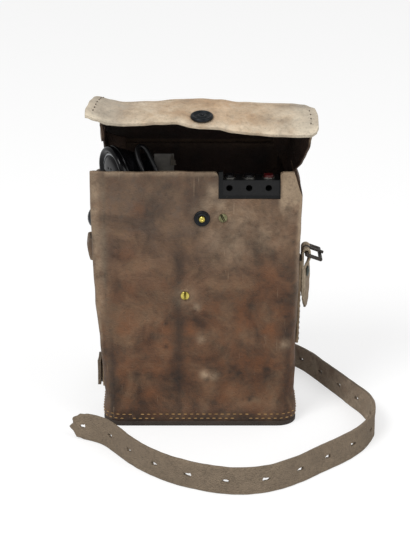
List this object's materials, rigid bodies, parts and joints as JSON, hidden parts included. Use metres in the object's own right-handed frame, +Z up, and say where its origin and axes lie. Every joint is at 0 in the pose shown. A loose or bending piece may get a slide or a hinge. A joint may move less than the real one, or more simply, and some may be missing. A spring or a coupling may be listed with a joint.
{
  "type": "field telephone",
  "caption": "Field telephone in a tall leather carrying case with a hinged lid, a handset on end, line terminals behind a cut in the front, a hand generator, a ringer and a holed strap.",
  "frame": {"origin": "centre of the base, on the surface that the case stands on", "axes": "+Z up, +X to the right seen from the front, front towards -Y"},
  "size_m": [0.2936, 0.3215, 0.3222],
  "materials": {
    "leather_case": "worn oiled leather",
    "sole_leather": "dark worn leather",
    "lid_leather": "pale worn leather",
    "strap_leather": "dry scuffed leather",
    "blackened_metal": "worn black",
    "brass": "tarnished",
    "chassis_metal": "grey enamel",
    "panel_enamel": "black enamel",
    "black_moulding": "polished moulding",
    "red_moulding": "polished moulding",
    "nickel": "nickel plate",
    "steel": "plain",
    "magnet_iron": "dark",
    "coil_wrap": "varnished wrap",
    "cell_card": "plain card",
    "cord_rubber": "black rubber",
    "rest_wood": "plain"
  },
  "bodies": {
    "case": {"case_wrap": "leather_case", "case_back": "leather_case", "case_base": "sole_leather", "base_welt": "sole_leather", "lid_hinge_strip": "lid_leather", "stud_collar": "blackened_metal", "stud_post": "brass", "case_screws": "brass", "chassis_frame": "chassis_metal", "partition_plate": "chassis_metal", "top_panel": "panel_enamel", "terminal_bezel": "blackened_metal", "terminal_block": "black_moulding", "terminal_contacts": "brass", "button_collars": "nickel", "magneto_plates": "chassis_metal", "magnets": "magnet_iron", "pole_pieces": "steel", "ringer_plate": "chassis_metal", "ringer_posts": "nickel", "gong": "brass", "ringer_coils": "coil_wrap", "battery_cells": "cell_card", "battery_contacts": "brass", "induction_coil": "coil_wrap", "handset_rest": "rest_wood", "chassis_gland": "black_moulding", "left_side_straps": "leather_case", "left_loop": "leather_case", "left_dome": "blackened_metal", "right_side_strap": "leather_case", "right_chape": "leather_case", "chape_rivet": "blackened_metal", "carrying_strap": "strap_leather", "handset_cord": "cord_rubber"},
    "lid": {"lid_top": "lid_leather", "lid_gusset_left": "lid_leather", "lid_gusset_right": "lid_leather"},
    "lid_flap": {"lid_front_flap": "lid_leather", "snap_cap": "blackened_metal", "snap_socket": "blackened_metal"},
    "handset": {"handset_handle": "black_moulding", "earpiece_cap": "black_moulding", "mouthpiece_cap": "black_moulding", "handset_capsules": "steel", "handset_gland": "cord_rubber"},
    "talk_bar": {"talk_bar": "black_moulding"},
    "button_left": {"line_button_left": "black_moulding"},
    "button_middle": {"line_button_middle": "black_moulding"},
    "button_right": {"line_button_right": "red_moulding"},
    "crank": {"crank_shaft": "brass", "crank_arm": "steel", "crank_gear": "steel"},
    "crank_knob": {"crank_knob": "black_moulding"},
    "armature": {"armature_core": "steel", "armature_shaft": "steel", "armature_pinion": "steel"},
    "rocker": {"ringer_rocker": "coil_wrap"},
    "buckle": {"buckle_frame": "steel"},
    "tongue": {"buckle_tongue": "steel"}
  },
  "joints": [
    {"name": "lid_hinge", "type": "hinge", "parent": "case", "child": "lid", "pos_m": [0, 0.0355, 0.265], "axis": [-1, 0, 0], "range_deg": [-50.5, 101], "deforming": ["lid_gusset_left", "lid_gusset_right"]},
    {"name": "flap_fold", "type": "hinge", "parent": "lid", "child": "lid_flap", "pos_m": [0, -0.01626, 0.31836], "axis": [-1, 0, 0], "range_deg": [-29, 14]},
    {"name": "handset_lift", "type": "slide", "parent": "case", "child": "handset", "axis": [0, 0, 1], "range_m": [0, 0.016], "deforming": ["handset_cord"]},
    {"name": "talk_bar_press", "type": "slide", "parent": "handset", "child": "talk_bar", "axis": [0.8704, 0.4848, 0.086], "range_m": [0, 0.0025], "stiffness_N_per_m": 800, "springref_m": -0.001},
    {"name": "line_button_left_press", "type": "slide", "parent": "case", "child": "button_left", "axis": [0, 0, -1], "range_m": [0, 0.0016], "stiffness_N_per_m": 900, "springref_m": -0.001},
    {"name": "line_button_middle_press", "type": "slide", "parent": "case", "child": "button_middle", "axis": [0, 0, -1], "range_m": [0, 0.0016], "stiffness_N_per_m": 900, "springref_m": -0.001},
    {"name": "line_button_right_press", "type": "slide", "parent": "case", "child": "button_right", "axis": [0, 0, -1], "range_m": [0, 0.0016], "stiffness_N_per_m": 900, "springref_m": -0.001},
    {"name": "crank_turn", "type": "hinge", "parent": "case", "child": "crank", "pos_m": [0.046, 0.005, 0.229], "axis": [0, 0, 1], "continuous": true},
    {"name": "crank_knob_spin", "type": "hinge", "parent": "crank", "child": "crank_knob", "pos_m": [0.0361, -0.0049, 0.238], "axis": [0, 0, 1], "continuous": true},
    {"name": "armature_spin", "type": "hinge", "parent": "case", "child": "armature", "pos_m": [0.02338, 0.005, 0.17], "axis": [0, 0, 1], "continuous": true},
    {"name": "ringer_rock", "type": "hinge", "parent": "case", "child": "rocker", "pos_m": [0.012, -0.01165, 0.104], "axis": [0, -1, 0], "range_deg": [-3, 3], "stiffness_Nm_per_rad": 0.6},
    {"name": "buckle_swing", "type": "hinge", "parent": "case", "child": "buckle", "pos_m": [0.10091, 0, 0.168], "axis": [0, -1, 0], "range_deg": [-35, 45]},
    {"name": "tongue_swing", "type": "hinge", "parent": "buckle", "child": "tongue", "pos_m": [0.10091, 0, 0.168], "axis": [0, -1, 0], "range_deg": [0, 60]}
  ],
  "couplings": [
    {"joint": "armature_spin", "follows": "crank_turn", "ratio": -4}
  ]
}
